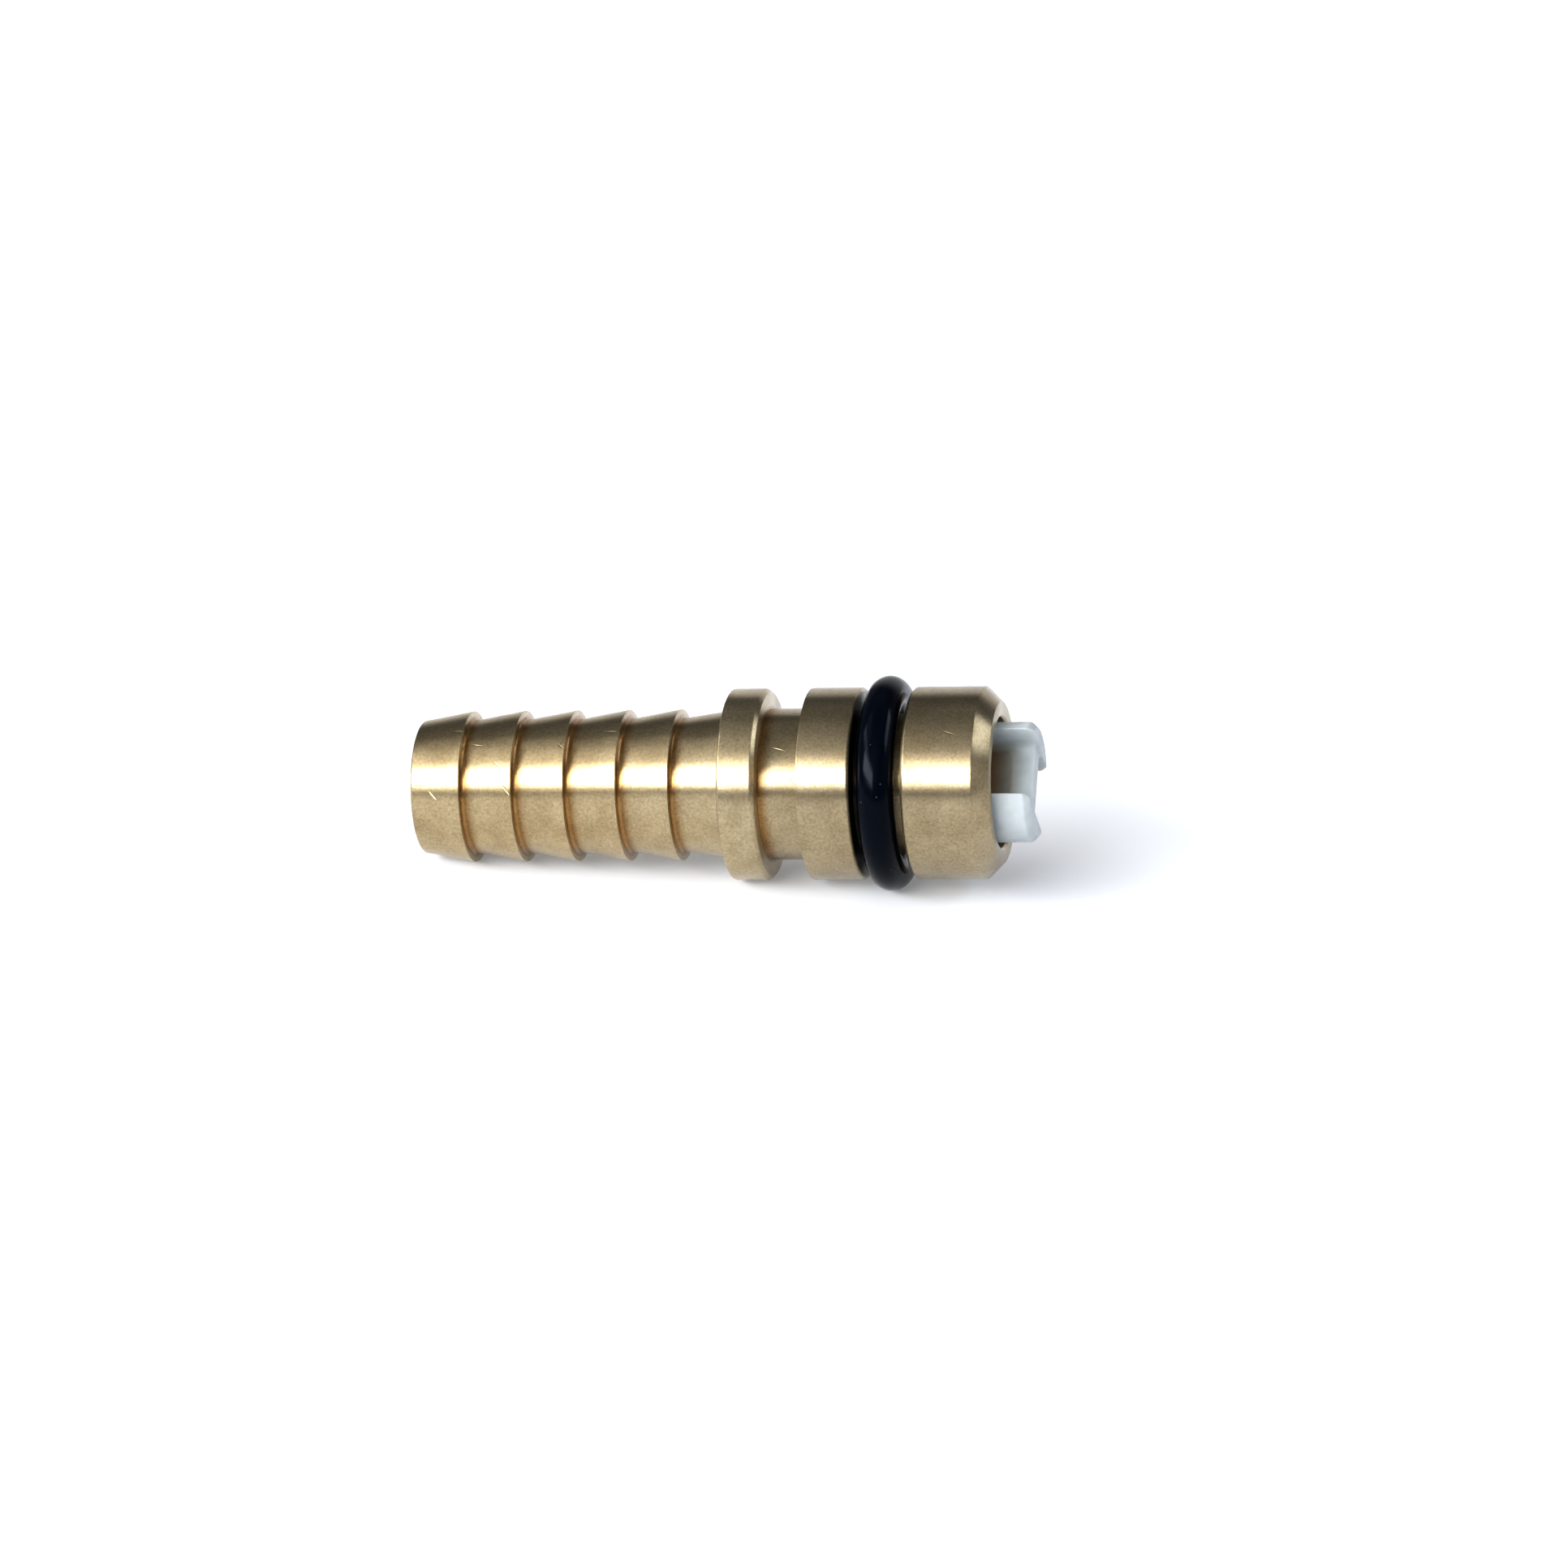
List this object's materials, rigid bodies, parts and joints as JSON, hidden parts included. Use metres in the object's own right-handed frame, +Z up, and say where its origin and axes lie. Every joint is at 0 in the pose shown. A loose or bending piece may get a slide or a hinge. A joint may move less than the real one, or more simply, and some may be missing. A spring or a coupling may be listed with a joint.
{
  "type": "valved hose barb insert",
  "caption": "Turned brass hose barb insert with a clip groove, an O-ring on its nose and a spring-loaded white valve crown, lying on its side.",
  "frame": {"origin": "bottom centre of the bounding box, on the table that the fitting lies on", "axes": "+X along the fitting from the barb end to the nose, +Z up, +Y across; the fitting's own axis leans up by 4.2 degrees towards +X"},
  "size_m": [0.0438, 0.0148, 0.0148],
  "materials": {
    "brass": "fine turned",
    "black_rubber": "smooth",
    "white_acetal": "moulded, slightly translucent",
    "grey_acetal": "moulded",
    "spring_steel": "drawn wire"
  },
  "bodies": {
    "fitting": {"barb_body": "brass", "nose_o_ring": "black_rubber", "return_spring": "spring_steel"},
    "valve": {"valve_crown": "white_acetal", "valve_head": "grey_acetal", "valve_seal": "black_rubber"}
  },
  "joints": [
    {"name": "valve_slide", "type": "slide", "parent": "fitting", "child": "valve", "axis": [-0.9973, 0, -0.0731], "range_m": [0, 0.002], "stiffness_N_per_m": 1370, "springref_m": -0.003, "deforming": ["return_spring"]}
  ]
}
